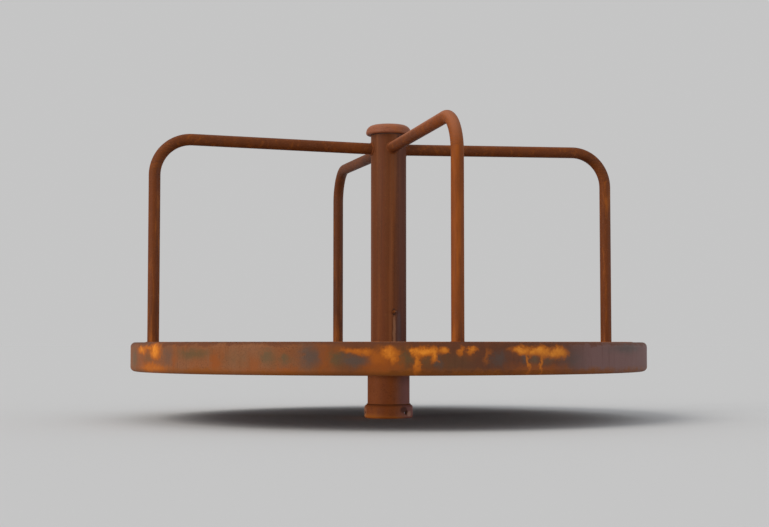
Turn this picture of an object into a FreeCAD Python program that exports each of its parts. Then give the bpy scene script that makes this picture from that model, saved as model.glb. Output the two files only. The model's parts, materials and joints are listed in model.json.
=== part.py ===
import FreeCAD, Part
import math
import os

# A playground roundabout. Millimetres and degrees, +Z up. The origin is the centre of the base
# collar's underside, and +Z is the axis that the platform turns about.

# Overall
DECK_RADIUS = 1000.0
DECK_TOP = 295.0
RAIL_COUNT = 4
REST_TURN = 14.5            # the rails' turn from the X and Y axes at rest
EPS = 1.0                   # how far a cutting tool runs past what it cuts

# Base collar, which slips over a stub pipe cast into the ground
COLLAR_RADIUS = 95.0
COLLAR_HEIGHT = 52.0
COLLAR_FOOT_ROUND = 10.0
SOCKET_RADIUS = 70.5
SOCKET_DEPTH = 40.0
SET_SCREW_RADIUS = 8.0
SET_SCREW_HEIGHT = 22.0
SET_SCREW_ANGLES = (-45.0, -165.0, 75.0)
SET_SCREW_INSET = 2.0
SET_SCREW_KEY = 8.0         # across the flats of its socket

# Foot
FOOT_RADIUS = 82.55
FOOT_WALL = 7.1
FOOT_TOP = 193.0
FOOT_PLATE = 12.0
LOWER_PLATE_BOTTOM = 120.0
LOWER_PLATE = 10.0

# Spindle
SPINDLE_BOTTOM = 112.0
SPINDLE_TOP = 694.0
BOSS_RADIUS = 36.0
BOSS_TOP = 220.0
SPINDLE_RADIUS = 30.0
NECK_RADIUS = 25.0
THREAD_RADIUS = 21.0
UPPER_SEAT = 620.0
WASHER_THICK = 6.0
WASHER_RADIUS = 31.0
NUT_FLATS = 65.0
NUT_BODY = 26.0
NUT_CROWN = 10.0
NUT_SLOT = 8.0
PIN_RADIUS = 3.4
PIN_HOLE_RADIUS = 3.6
PIN_HALF_LENGTH = 42.0
PIN_EYE_RADIUS = 6.0
PIN_EYE_WIRE = 2.3

# Bearings: bore radius, outside radius, width, ball radius
LOWER_BEARING = {"bore": 30.0, "outside": 55.0, "width": 22.0, "ball": 7.94, "bottom": BOSS_TOP}
UPPER_BEARING = {"bore": 25.0, "outside": 45.0, "width": 20.0, "ball": 6.35, "bottom": UPPER_SEAT}
BALL_COUNT = 10
BALL_GAP = 0.3              # from a ball to its groove and to its pocket
HOUSING_LIP = 10.0
HOUSING_LIP_STEP = 5.0
SEAL_GAP = 0.1

# Column
COLUMN_RADIUS = 69.85
COLUMN_WALL = 6.3
COLUMN_BOTTOM = 212.0
COLUMN_TOP = 1112.0
NIPPLE_ANGLE = -72.0
NIPPLE_HEIGHT = DECK_TOP + 118.0
NIPPLE_RADIUS = 5.0
NIPPLE_FLATS = 14.0

# Cap
CAP_TOP = 1153.0
CAP_RADIUS = 89.0
CAP_SHOULDER = 30.0
CAP_LIP_ROUND = 8.0
CAP_CROWN = 17.0
CAP_SPIGOT = 20.0
CAP_SPIGOT_WALL = 8.0
GASKET = 2.0
BRIDGE_WIDTH = 34.0
BRIDGE_THICK = 12.0
BRIDGE_TOP = 1088.0
CAP_SCREW_RADIUS = 6.0
CAP_SCREW_HEAD_RADIUS = 11.0
CAP_SCREW_HEAD = 6.0
CAP_SCREW_KEY = 8.0

# Handrails
RAIL_TUBE_RADIUS = 22.25
RAIL_WALL = 3.2
RAIL_POST_AT = 919.0        # from the axis to the upright's centre line
RAIL_CORNER = DECK_TOP + 778.0
RAIL_AXIS_HEIGHT = DECK_TOP + 762.0   # where the arm's centre line would meet the axis
RAIL_BEND = 140.0
RAIL_PLUG = 32.0
RAIL_BOLT_RADIUS = 8.0
RAIL_BOLT_GRIP = 26.0

# Rim: a channel rolled into a ring, flanges inwards
RIM_HEIGHT = 110.0
RIM_WALL = 5.0
RIM_ROUND = 18.0
RIM_FLANGE = 40.0

# Deck frame
SPOKE_COUNT = 2 * RAIL_COUNT
SPOKE_SIZE = 60.0
SPOKE_WALL = 4.0
PLATE = 5.0
PLATE_SEAM = 2.0
PLATE_COLUMN_GAP = 2.0
DRUM_RADIUS = 158.0
DRUM_WALL = 8.0
HUB_PLATE = 6.0
HUB_PLATE_RADIUS = 175.0
FLANGE_RADIUS = 140.0
FLANGE = 12.0
HUB_BOLT_RADIUS = 8.0
HUB_BOLT_AT = 115.0
HUB_BOLT_COUNT = 8
BOLT_HEAD = 10.0
NUT_HEIGHT = 13.0
BOLT_FLATS = 24.0
BOLT_WASHER = 3.0
BOLT_WASHER_RADIUS = 15.0
LEDGE_THICK = 6.0
LEDGE_INNER = 935.0
LEDGE_OUTER = 980.0
SUPPORT_RADIUS = 100.0
STIFFENER_AT = 540.0
STIFFENER_THICK = 8.0

# Countersunk deck screws
SCREW_HEAD_RADIUS = 10.0
SCREW_RADIUS = 5.0
SCREW_LENGTH = 22.0
SCREW_KEY = 6.0
SCREW_KEY_DEPTH = 4.0
LEDGE_SCREW_AT = 947.0
LEDGE_SCREW_STEPS = (-35.0, -24.0, -13.0, 13.0, 24.0, 35.0)
SPOKE_SCREW_AT = (240.0, 420.0, 620.0, 800.0)
SEAM_SCREW_AT = (330.0, 620.0, 870.0)
SEAM_SCREW_OFFSET = 17.0
INNER_SCREW_AT = 86.0

# Worked out from the above
SPOKE_TOP = DECK_TOP - PLATE
SPOKE_BOTTOM = SPOKE_TOP - SPOKE_SIZE
RIM_BOTTOM = DECK_TOP - RIM_HEIGHT
RIM_INSIDE = DECK_RADIUS - RIM_WALL
FLANGE_EDGE = DECK_RADIUS - RIM_FLANGE
COLUMN_BORE = COLUMN_RADIUS - COLUMN_WALL
HUB_PLATE_BOTTOM = SPOKE_BOTTOM - HUB_PLATE
SEAT_TOP = FOOT_TOP + FOOT_PLATE
WASHER_BOTTOM = UPPER_SEAT + UPPER_BEARING["width"]
NUT_BOTTOM = WASHER_BOTTOM + WASHER_THICK
NUT_TOP = NUT_BOTTOM + NUT_BODY + NUT_CROWN
PIN_HEIGHT = NUT_TOP - NUT_CROWN / 2
Z_AXIS = FreeCAD.Vector(0, 0, 1)
ORIGIN = FreeCAD.Vector(0, 0, 0)

os.makedirs("parts", exist_ok=True)


def point(x, y, z):
    return FreeCAD.Vector(x, y, z)


def save(name, shape):
    """Write one node. A group of separate solids stays a compound."""
    if not shape.isValid() or min(solid.Volume for solid in shape.Solids) <= 0:
        raise ValueError(name + " is not a sound solid")
    shape.exportStep("parts/" + name + ".step")


def cylinder(radius, bottom, top):
    return Part.makeCylinder(radius, top - bottom, point(0, 0, bottom))


def ring(outer, inner, bottom, top):
    return cylinder(outer, bottom, top).cut(cylinder(inner, bottom - EPS, top + EPS))


def turned(shape, angle):
    """A copy of a shape, turned about the Z axis."""
    copy = shape.copy()
    copy.rotate(ORIGIN, Z_AXIS, angle)
    return copy


def outline(corners):
    """A closed face in the XZ plane. A corner is (x, z) or (x, z, radius)."""
    count = len(corners)
    edges = []
    starts = []
    ends = []
    arcs = []
    for i, corner in enumerate(corners):
        here = point(corner[0], 0, corner[1])
        radius = corner[2] if len(corner) > 2 else 0.0
        before = corners[i - 1]
        after = corners[(i + 1) % count]
        to_before = (point(before[0], 0, before[1]) - here).normalize()
        to_after = (point(after[0], 0, after[1]) - here).normalize()
        if radius == 0.0:
            starts.append(here)
            ends.append(here)
            arcs.append(None)
            continue
        half = to_before.getAngle(to_after) / 2
        reach = radius / math.tan(half)
        start = here + to_before * reach
        end = here + to_after * reach
        inward = (to_before + to_after).normalize()
        middle = here + inward * (radius / math.sin(half) - radius)
        starts.append(start)
        ends.append(end)
        arcs.append(Part.Arc(start, middle, end).toShape())
    for i in range(count):
        if arcs[i]:
            edges.append(arcs[i])
        following = starts[(i + 1) % count]
        if ends[i].distanceToPoint(following) > 1e-6:
            edges.append(Part.LineSegment(ends[i], following).toShape())
    return Part.Face(Part.Wire(edges))


def revolved(corners):
    return outline(corners).revolve(ORIGIN, Z_AXIS, 360)


def hexagon(flats, bottom, top):
    """A hexagonal prism about the Z axis."""
    radius = flats / math.sqrt(3)
    corners = []
    for i in range(7):
        angle = math.radians(60 * i)
        corners.append(point(radius * math.cos(angle), radius * math.sin(angle), bottom))
    return Part.Face(Part.makePolygon(corners)).extrude(point(0, 0, top - bottom))


def moved(shape, x, y, z=0.0):
    copy = shape.copy()
    copy.translate(point(x, y, z))
    return copy


def laid_out(shape, angle, height):
    """A shape standing about the Z axis, laid to point outwards along an angle at a height."""
    copy = shape.copy()
    copy.rotate(ORIGIN, point(0, 1, 0), 90)
    return turned(moved(copy, 0, 0, height), angle)


def at_angle(shape, distance, angle):
    """A copy of a shape moved out from the axis and turned to an angle."""
    return turned(moved(shape, distance, 0), angle)


def largest(shape):
    """The main solid of a cut shape, without the offcuts."""
    return max(shape.Solids, key=lambda solid: solid.Volume)


def rail_angle(index):
    return REST_TURN + 360.0 * index / RAIL_COUNT


def spoke_angle(index):
    return REST_TURN + 360.0 * index / SPOKE_COUNT


# Fixed base


def set_screw_holes():
    hole = cylinder(SET_SCREW_RADIUS, SOCKET_RADIUS - 10, COLLAR_RADIUS + 10)
    return Part.makeCompound([laid_out(hole, angle, SET_SCREW_HEIGHT) for angle in SET_SCREW_ANGLES])


def base_collar():
    step = COLLAR_RADIUS - FOOT_RADIUS
    body = revolved([
        (SOCKET_RADIUS, 0),
        (COLLAR_RADIUS, 0, COLLAR_FOOT_ROUND),
        (COLLAR_RADIUS, COLLAR_HEIGHT, step - 0.5),
        (FOOT_RADIUS, COLLAR_HEIGHT),
        (FOOT_RADIUS, SOCKET_DEPTH),
        (SOCKET_RADIUS, SOCKET_DEPTH),
    ])
    return body.cut(set_screw_holes())


def collar_set_screws():
    tip = SOCKET_RADIUS + 0.4
    end = COLLAR_RADIUS - SET_SCREW_INSET
    screw = cylinder(SET_SCREW_RADIUS, tip, end)
    screw = screw.cut(hexagon(SET_SCREW_KEY, end - SET_SCREW_KEY, end + EPS))
    return Part.makeCompound([laid_out(screw, angle, SET_SCREW_HEIGHT) for angle in SET_SCREW_ANGLES])


def foot_tube():
    return ring(FOOT_RADIUS, FOOT_RADIUS - FOOT_WALL, SOCKET_DEPTH, FOOT_TOP)


def foot_top_plate():
    return ring(FOOT_RADIUS, BOSS_RADIUS, FOOT_TOP, SEAT_TOP)


def foot_lower_plate():
    return ring(FOOT_RADIUS - FOOT_WALL, SPINDLE_RADIUS,
                LOWER_PLATE_BOTTOM, LOWER_PLATE_BOTTOM + LOWER_PLATE)


def spindle():
    body = revolved([
        (0, SPINDLE_BOTTOM),
        (SPINDLE_RADIUS, SPINDLE_BOTTOM),
        (SPINDLE_RADIUS, FOOT_TOP),
        (BOSS_RADIUS, FOOT_TOP),
        (BOSS_RADIUS, BOSS_TOP),
        (SPINDLE_RADIUS, BOSS_TOP),
        (SPINDLE_RADIUS, UPPER_SEAT),
        (NECK_RADIUS, UPPER_SEAT),
        (NECK_RADIUS, WASHER_BOTTOM),
        (THREAD_RADIUS, WASHER_BOTTOM),
        (THREAD_RADIUS, SPINDLE_TOP, 3),
        (0, SPINDLE_TOP),
    ])
    hole = Part.makeCylinder(PIN_HOLE_RADIUS, 4 * THREAD_RADIUS,
                             point(-2 * THREAD_RADIUS, 0, PIN_HEIGHT), point(1, 0, 0))
    return body.cut(hole)


def spindle_washer():
    return ring(WASHER_RADIUS, THREAD_RADIUS, WASHER_BOTTOM, NUT_BOTTOM)


def spindle_nut():
    crown_bottom = NUT_BOTTOM + NUT_BODY
    body = hexagon(NUT_FLATS, NUT_BOTTOM, crown_bottom)
    body = body.fuse(cylinder(NUT_FLATS / 2, crown_bottom, NUT_TOP)).removeSplitter()
    body = body.cut(cylinder(THREAD_RADIUS, NUT_BOTTOM - EPS, NUT_TOP + EPS))
    slot = Part.makeBox(2 * NUT_FLATS, NUT_SLOT, NUT_CROWN + EPS,
                        point(-NUT_FLATS, -NUT_SLOT / 2, crown_bottom))
    slots = [turned(slot, 60 * i) for i in range(3)]
    return body.cut(Part.makeCompound(slots))


def split_pin():
    legs = Part.makeCylinder(PIN_RADIUS, 2 * PIN_HALF_LENGTH,
                             point(-PIN_HALF_LENGTH, 0, PIN_HEIGHT), point(1, 0, 0))
    eye = Part.makeTorus(PIN_EYE_RADIUS, PIN_EYE_WIRE)
    return legs.fuse(moved(eye, PIN_HALF_LENGTH + PIN_EYE_RADIUS, 0, PIN_HEIGHT))


# Ball bearings


def bearing_sizes(bearing):
    """Pitch radius, mid height and the two races' shoulder radii."""
    pitch = (bearing["bore"] + bearing["outside"]) / 2
    middle = bearing["bottom"] + bearing["width"] / 2
    shoulder = bearing["ball"] / 2
    return pitch, middle, pitch - shoulder, pitch + shoulder


def ball_groove(bearing):
    pitch, middle, _, _ = bearing_sizes(bearing)
    return moved(Part.makeTorus(pitch, bearing["ball"] + BALL_GAP), 0, 0, middle)


def inner_race(bearing):
    _, _, inner_shoulder, _ = bearing_sizes(bearing)
    bottom = bearing["bottom"]
    race = ring(inner_shoulder, bearing["bore"], bottom, bottom + bearing["width"])
    return race.cut(ball_groove(bearing))


def outer_race(bearing):
    _, _, _, outer_shoulder = bearing_sizes(bearing)
    bottom = bearing["bottom"]
    race = ring(bearing["outside"], outer_shoulder, bottom, bottom + bearing["width"])
    return race.cut(ball_groove(bearing))


def at_balls(shape):
    return Part.makeCompound([turned(shape, 360.0 * i / BALL_COUNT) for i in range(BALL_COUNT)])


def balls(bearing):
    pitch, middle, _, _ = bearing_sizes(bearing)
    return at_balls(Part.makeSphere(bearing["ball"], point(pitch, 0, middle)))


def cage(bearing):
    """A band between the races with a round pocket for each ball."""
    pitch, middle, _, _ = bearing_sizes(bearing)
    pocket = bearing["ball"] + BALL_GAP
    half_width = bearing["ball"] + 2
    half_wall = bearing["ball"] / 4
    body = ring(pitch + half_wall, pitch - half_wall, middle - half_width, middle + half_width)
    through = cylinder(pocket, pitch - 2 * half_wall, pitch + 2 * half_wall)
    return body.cut(at_balls(laid_out(through, 0, middle)))


def lower_bearing_housing():
    race_top = LOWER_BEARING["bottom"] + LOWER_BEARING["width"]
    seat = LOWER_BEARING["outside"]
    return revolved([
        (seat, COLUMN_BOTTOM),
        (COLUMN_BORE, COLUMN_BOTTOM),
        (COLUMN_BORE, race_top + HOUSING_LIP),
        (seat - HOUSING_LIP_STEP, race_top + HOUSING_LIP),
        (seat - HOUSING_LIP_STEP, race_top),
        (seat, race_top),
    ])


def upper_bearing_housing():
    race_bottom = UPPER_BEARING["bottom"]
    race_top = race_bottom + UPPER_BEARING["width"]
    seat = UPPER_BEARING["outside"]
    return revolved([
        (seat - HOUSING_LIP_STEP, race_bottom - HOUSING_LIP),
        (COLUMN_BORE, race_bottom - HOUSING_LIP),
        (COLUMN_BORE, race_top),
        (seat, race_top),
        (seat, race_bottom),
        (seat - HOUSING_LIP_STEP, race_bottom),
    ])


def shaft_seal():
    return ring(LOWER_BEARING["outside"], BOSS_RADIUS + SEAL_GAP, COLUMN_BOTTOM, BOSS_TOP)


# Column and cap


def nipple_hole():
    hole = cylinder(NIPPLE_RADIUS, COLUMN_BORE - 10, COLUMN_RADIUS + 10)
    return laid_out(hole, NIPPLE_ANGLE, NIPPLE_HEIGHT)


def centre_column():
    tube = ring(COLUMN_RADIUS, COLUMN_BORE, COLUMN_BOTTOM, COLUMN_TOP)
    return tube.cut(nipple_hole())


def grease_nipple():
    stem_end = COLUMN_RADIUS + 1.0
    body = cylinder(NIPPLE_RADIUS, COLUMN_BORE - 3, stem_end)
    body = body.fuse(hexagon(NIPPLE_FLATS, stem_end, stem_end + 5))
    body = body.fuse(Part.makeCone(4.5, 3.0, 5, point(0, 0, stem_end + 5)))
    body = body.fuse(Part.makeSphere(3.6, point(0, 0, stem_end + 11)))
    return laid_out(body, NIPPLE_ANGLE, NIPPLE_HEIGHT)


def top_cap():
    lip = COLUMN_TOP + GASKET
    spigot = COLUMN_BORE - 0.3
    inner = spigot - CAP_SPIGOT_WALL
    body = revolved([
        (0, CAP_TOP - CAP_CROWN),
        (inner, CAP_TOP - CAP_CROWN),
        (inner, lip - CAP_SPIGOT),
        (spigot, lip - CAP_SPIGOT),
        (spigot, lip),
        (CAP_RADIUS, lip, CAP_LIP_ROUND),
        (CAP_RADIUS, CAP_TOP, CAP_SHOULDER),
        (0, CAP_TOP),
    ])
    return body.cut(cylinder(CAP_SCREW_RADIUS, CAP_TOP - 2 * CAP_CROWN, CAP_TOP + EPS))


def cap_gasket():
    return ring(COLUMN_RADIUS, COLUMN_BORE, COLUMN_TOP, COLUMN_TOP + GASKET)


def cap_bridge():
    bar = Part.makeBox(2 * COLUMN_RADIUS, BRIDGE_WIDTH, BRIDGE_THICK,
                       point(-COLUMN_RADIUS, -BRIDGE_WIDTH / 2, BRIDGE_TOP - BRIDGE_THICK))
    bar = bar.common(cylinder(COLUMN_BORE, BRIDGE_TOP - BRIDGE_THICK, BRIDGE_TOP))
    hole = cylinder(CAP_SCREW_RADIUS, BRIDGE_TOP - BRIDGE_THICK - EPS, BRIDGE_TOP + EPS)
    return turned(bar.cut(hole), REST_TURN)


def cap_screw():
    """A button head screw through the crown of the cap into the bridge."""
    head = revolved([
        (0, CAP_TOP),
        (CAP_SCREW_HEAD_RADIUS, CAP_TOP),
        (CAP_SCREW_HEAD_RADIUS, CAP_TOP + CAP_SCREW_HEAD, CAP_SCREW_HEAD - 1),
        (0, CAP_TOP + CAP_SCREW_HEAD),
    ])
    shank = cylinder(CAP_SCREW_RADIUS, BRIDGE_TOP - BRIDGE_THICK, CAP_TOP)
    key = hexagon(CAP_SCREW_KEY, CAP_TOP + 1.5, CAP_TOP + CAP_SCREW_HEAD + EPS)
    return head.fuse(shank).cut(key)


# Handrails


def rail_path(inner, foot):
    """The centre line of a rail along +X: up the upright, round the bend, in along the arm."""
    slope = (RAIL_CORNER - RAIL_AXIS_HEIGHT) / RAIL_POST_AT
    corner = point(RAIL_POST_AT, 0, RAIL_CORNER)
    start = point(RAIL_POST_AT, 0, foot)
    end = point(inner, 0, RAIL_AXIS_HEIGHT + slope * inner)
    down = (start - corner).normalize()
    inwards = (end - corner).normalize()
    half = down.getAngle(inwards) / 2
    reach = RAIL_BEND / math.tan(half)
    bend_start = corner + down * reach
    bend_end = corner + inwards * reach
    middle = corner + (down + inwards).normalize() * (RAIL_BEND / math.sin(half) - RAIL_BEND)
    return Part.Wire([
        Part.LineSegment(start, bend_start).toShape(),
        Part.Arc(bend_start, middle, bend_end).toShape(),
        Part.LineSegment(bend_end, end).toShape(),
    ])


def rail_rod(radius, inner, foot):
    circle = Part.Wire(Part.makeCircle(radius, point(RAIL_POST_AT, 0, foot), Z_AXIS))
    return rail_path(inner, foot).makePipeShell([circle], True, True)


def handrail():
    """One inverted L of tube, coped to the column at its inner end."""
    foot = SPOKE_BOTTOM + SPOKE_WALL
    inner = COLUMN_RADIUS / 2
    tube = rail_rod(RAIL_TUBE_RADIUS, inner, foot)
    tube = tube.cut(rail_rod(RAIL_TUBE_RADIUS - RAIL_WALL, inner - EPS, foot))
    return tube.cut(cylinder(COLUMN_RADIUS, DECK_TOP, CAP_TOP))


def rail_plug():
    bottom = SPOKE_BOTTOM + SPOKE_WALL
    plug = cylinder(RAIL_TUBE_RADIUS - RAIL_WALL, bottom, bottom + RAIL_PLUG)
    return plug.cut(cylinder(RAIL_BOLT_RADIUS, bottom - EPS, SPOKE_BOTTOM + RAIL_BOLT_GRIP))


def rail_bolt():
    seat = SPOKE_BOTTOM - BOLT_WASHER
    head = hexagon(BOLT_FLATS, seat - BOLT_HEAD, seat)
    return head.fuse(cylinder(RAIL_BOLT_RADIUS, seat, SPOKE_BOTTOM + RAIL_BOLT_GRIP))


def rail_washer():
    return ring(BOLT_WASHER_RADIUS, RAIL_BOLT_RADIUS, SPOKE_BOTTOM - BOLT_WASHER, SPOKE_BOTTOM)


def at_rails(shape):
    """One copy of a shape at the foot of each rail."""
    copies = [at_angle(shape, RAIL_POST_AT, rail_angle(i)) for i in range(RAIL_COUNT)]
    return Part.makeCompound(copies)


# Rim and deck frame


def rim_band():
    inner_round = RIM_ROUND - RIM_WALL
    return revolved([
        (FLANGE_EDGE, RIM_BOTTOM),
        (DECK_RADIUS, RIM_BOTTOM, RIM_ROUND),
        (DECK_RADIUS, DECK_TOP, RIM_ROUND),
        (FLANGE_EDGE, DECK_TOP),
        (FLANGE_EDGE, DECK_TOP - RIM_WALL),
        (RIM_INSIDE, DECK_TOP - RIM_WALL, inner_round),
        (RIM_INSIDE, RIM_BOTTOM + RIM_WALL, inner_round),
        (FLANGE_EDGE, RIM_BOTTOM + RIM_WALL),
    ])


def spoke_block(width=SPOKE_SIZE):
    """The outside of a spoke along +X, longer than the spoke."""
    return Part.makeBox(DECK_RADIUS, width, SPOKE_SIZE, point(0, -width / 2, SPOKE_BOTTOM))


def spoke(rim, screws, holds_rail):
    """A square tube from the hub drum to the rim, along +X."""
    hollow = SPOKE_SIZE - 2 * SPOKE_WALL
    inside = Part.makeBox(DECK_RADIUS + 2 * EPS, hollow, hollow,
                          point(-EPS, -hollow / 2, SPOKE_BOTTOM + SPOKE_WALL))
    tube = spoke_block().cut(inside)
    tube = tube.common(cylinder(RIM_INSIDE, SPOKE_BOTTOM - EPS, SPOKE_TOP + EPS))
    tube = tube.cut(cylinder(DRUM_RADIUS, SPOKE_BOTTOM - EPS, SPOKE_TOP + EPS))
    tube = tube.cut(rim)
    if holds_rail:
        wall = SPOKE_BOTTOM + SPOKE_WALL
        tube_hole = cylinder(RAIL_TUBE_RADIUS, wall, SPOKE_TOP + EPS)
        bolt_hole = cylinder(RAIL_BOLT_RADIUS, SPOKE_BOTTOM - EPS, wall + EPS)
        tube = tube.cut(moved(tube_hole.fuse(bolt_hole), RAIL_POST_AT, 0))
    return largest(tube.cut(screws))


def screw_places():
    """Angle and radius of each deck screw on one plate, whose middle lies along +X."""
    places = [(step, LEDGE_SCREW_AT) for step in LEDGE_SCREW_STEPS]
    places += [(0.0, radius) for radius in SPOKE_SCREW_AT]
    places.append((0.0, INNER_SCREW_AT))
    for radius in SEAM_SCREW_AT:
        from_seam = math.degrees(math.asin(SEAM_SCREW_OFFSET / radius))
        places += [(from_seam - 45.0, radius), (45.0 - from_seam, radius)]
    return places


def screw_body():
    """A countersunk screw about the Z axis, flush with the deck."""
    return revolved([
        (0, DECK_TOP - SCREW_LENGTH),
        (SCREW_RADIUS, DECK_TOP - SCREW_LENGTH),
        (SCREW_RADIUS, DECK_TOP - SCREW_HEAD_RADIUS + SCREW_RADIUS),
        (SCREW_HEAD_RADIUS, DECK_TOP),
        (0, DECK_TOP),
    ])


def plate_screws(index, body):
    """A body at every screw place of one plate."""
    copies = []
    for angle, radius in screw_places():
        copies.append(at_angle(body, radius, rail_angle(index) + angle))
    return copies


def all_screws(body):
    copies = []
    for index in range(RAIL_COUNT):
        copies += plate_screws(index, body)
    return Part.makeCompound(copies)


def deck_screws():
    key = hexagon(SCREW_KEY, DECK_TOP - SCREW_KEY_DEPTH, DECK_TOP + EPS)
    return all_screws(screw_body().cut(key))


def deck_plate(index):
    """A quarter of the deck, lying on the spokes, the ledges and the hub."""
    inner = COLUMN_RADIUS + PLATE_COLUMN_GAP
    outer = FLANGE_EDGE - PLATE_SEAM
    plate = ring(outer, inner, SPOKE_TOP, DECK_TOP)
    quarter = Part.makeBox(DECK_RADIUS, DECK_RADIUS, PLATE,
                           point(PLATE_SEAM / 2, PLATE_SEAM / 2, SPOKE_TOP))
    plate = plate.common(turned(quarter, -45.0))
    hole = cylinder(RAIL_TUBE_RADIUS, SPOKE_TOP - EPS, DECK_TOP + EPS)
    plate = turned(plate.cut(moved(hole, RAIL_POST_AT, 0)), rail_angle(index))
    return plate.cut(Part.makeCompound(plate_screws(index, screw_body())))


def between_spokes(shape):
    """What is left of a shape once the spokes are taken out of it."""
    blocks = [turned(spoke_block(), spoke_angle(i)) for i in range(SPOKE_COUNT)]
    return shape.cut(Part.makeCompound(blocks))


def deck_ledges(screws):
    """Arcs of flat bar under the rim's top flange that carry the plates' outer edges."""
    ledge = ring(LEDGE_OUTER, LEDGE_INNER, SPOKE_TOP - LEDGE_THICK, SPOKE_TOP)
    return between_spokes(ledge).cut(screws)


def frame_stiffeners():
    """Straight flat bars between the spokes."""
    half_gap = math.radians(180.0 / SPOKE_COUNT)
    length = 2 * STIFFENER_AT * math.tan(half_gap)
    bar = Part.makeBox(STIFFENER_THICK, length, SPOKE_SIZE,
                       point(STIFFENER_AT - STIFFENER_THICK / 2, -length / 2, SPOKE_BOTTOM))
    sides = [turned(spoke_block(), sign * 180.0 / SPOKE_COUNT) for sign in (-1, 1)]
    middle = largest(bar.cut(Part.makeCompound(sides)))
    return Part.makeCompound([turned(middle, spoke_angle(i + 0.5)) for i in range(SPOKE_COUNT)])


def hub_drum():
    return ring(DRUM_RADIUS, DRUM_RADIUS - DRUM_WALL, SPOKE_BOTTOM, SPOKE_TOP)


def at_hub_bolts(shape):
    step = 360.0 / HUB_BOLT_COUNT
    return Part.makeCompound([at_angle(shape, HUB_BOLT_AT, REST_TURN + step * (i + 0.5))
                              for i in range(HUB_BOLT_COUNT)])


def bolt_hole(bottom, top):
    return cylinder(HUB_BOLT_RADIUS, bottom - EPS, top + EPS)


def hub_plate():
    plate = ring(HUB_PLATE_RADIUS, COLUMN_RADIUS, HUB_PLATE_BOTTOM, SPOKE_BOTTOM)
    return plate.cut(at_hub_bolts(bolt_hole(HUB_PLATE_BOTTOM, SPOKE_BOTTOM)))


def column_flange():
    plate = ring(FLANGE_RADIUS, COLUMN_RADIUS, COLUMN_BOTTOM, COLUMN_BOTTOM + FLANGE)
    return plate.cut(at_hub_bolts(bolt_hole(COLUMN_BOTTOM, COLUMN_BOTTOM + FLANGE)))


def hub_bolts():
    head = hexagon(BOLT_FLATS, COLUMN_BOTTOM - BOLT_HEAD, COLUMN_BOTTOM)
    shank = cylinder(HUB_BOLT_RADIUS, COLUMN_BOTTOM, SPOKE_BOTTOM + BOLT_WASHER + NUT_HEIGHT + 4)
    return at_hub_bolts(head.fuse(shank))


def hub_washers():
    washer = ring(BOLT_WASHER_RADIUS, HUB_BOLT_RADIUS, SPOKE_BOTTOM, SPOKE_BOTTOM + BOLT_WASHER)
    return at_hub_bolts(washer)


def hub_nuts():
    bottom = SPOKE_BOTTOM + BOLT_WASHER
    nut = hexagon(BOLT_FLATS, bottom, bottom + NUT_HEIGHT)
    return at_hub_bolts(nut.cut(cylinder(HUB_BOLT_RADIUS, bottom - EPS, bottom + NUT_HEIGHT + EPS)))


def deck_support_ring(screws):
    """A ring welded round the column that carries the plates' inner edges."""
    plate = ring(SUPPORT_RADIUS, COLUMN_RADIUS, SPOKE_TOP - LEDGE_THICK, SPOKE_TOP)
    return plate.cut(screws)


def save_base():
    save("base_collar", base_collar())
    save("collar_set_screws", collar_set_screws())
    save("foot_tube", foot_tube())
    save("foot_top_plate", foot_top_plate())
    save("foot_lower_plate", foot_lower_plate())
    save("spindle", spindle())
    save("spindle_washer", spindle_washer())
    save("spindle_nut", spindle_nut())
    save("split_pin", split_pin())


def save_bearings():
    for place, bearing in (("lower", LOWER_BEARING), ("upper", UPPER_BEARING)):
        save(place + "_bearing_inner_race", inner_race(bearing))
        save(place + "_bearing_outer_race", outer_race(bearing))
        save(place + "_bearing_balls", balls(bearing))
        save(place + "_bearing_cage", cage(bearing))
    save("lower_bearing_housing", lower_bearing_housing())
    save("upper_bearing_housing", upper_bearing_housing())
    save("shaft_seal", shaft_seal())


def save_column():
    save("centre_column", centre_column())
    save("grease_nipple", grease_nipple())
    save("column_flange", column_flange())
    save("top_cap", top_cap())
    save("cap_gasket", cap_gasket())
    save("cap_bridge", cap_bridge())
    save("cap_screw", cap_screw())


def save_rails():
    rail = handrail()
    for index in range(RAIL_COUNT):
        save("handrail_%d" % (index + 1), turned(rail, rail_angle(index)))
    save("rail_end_plugs", at_rails(rail_plug()))
    save("rail_bolts", at_rails(rail_bolt()))
    save("rail_washers", at_rails(rail_washer()))


def save_deck():
    rim = rim_band()
    screws = all_screws(screw_body())
    save("rim_band", rim)
    for index in range(SPOKE_COUNT):
        holds_rail = index % 2 == 0
        angle = spoke_angle(index)
        tube = spoke(rim, turned(screws, -angle), holds_rail)
        save("spoke_%d" % (index + 1), turned(tube, angle))
    for index in range(RAIL_COUNT):
        save("deck_plate_%d" % (index + 1), deck_plate(index))
    save("deck_ledges", deck_ledges(screws))
    save("deck_support_ring", deck_support_ring(screws))
    save("deck_screws", deck_screws())
    save("frame_stiffeners", frame_stiffeners())
    save("hub_drum", hub_drum())
    save("hub_plate", hub_plate())
    save("hub_bolts", hub_bolts())
    save("hub_washers", hub_washers())
    save("hub_nuts", hub_nuts())


save_base()
save_bearings()
save_column()
save_rails()
save_deck()
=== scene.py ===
import json
import math
import random

import bpy
from mathutils import Matrix, Vector


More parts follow.
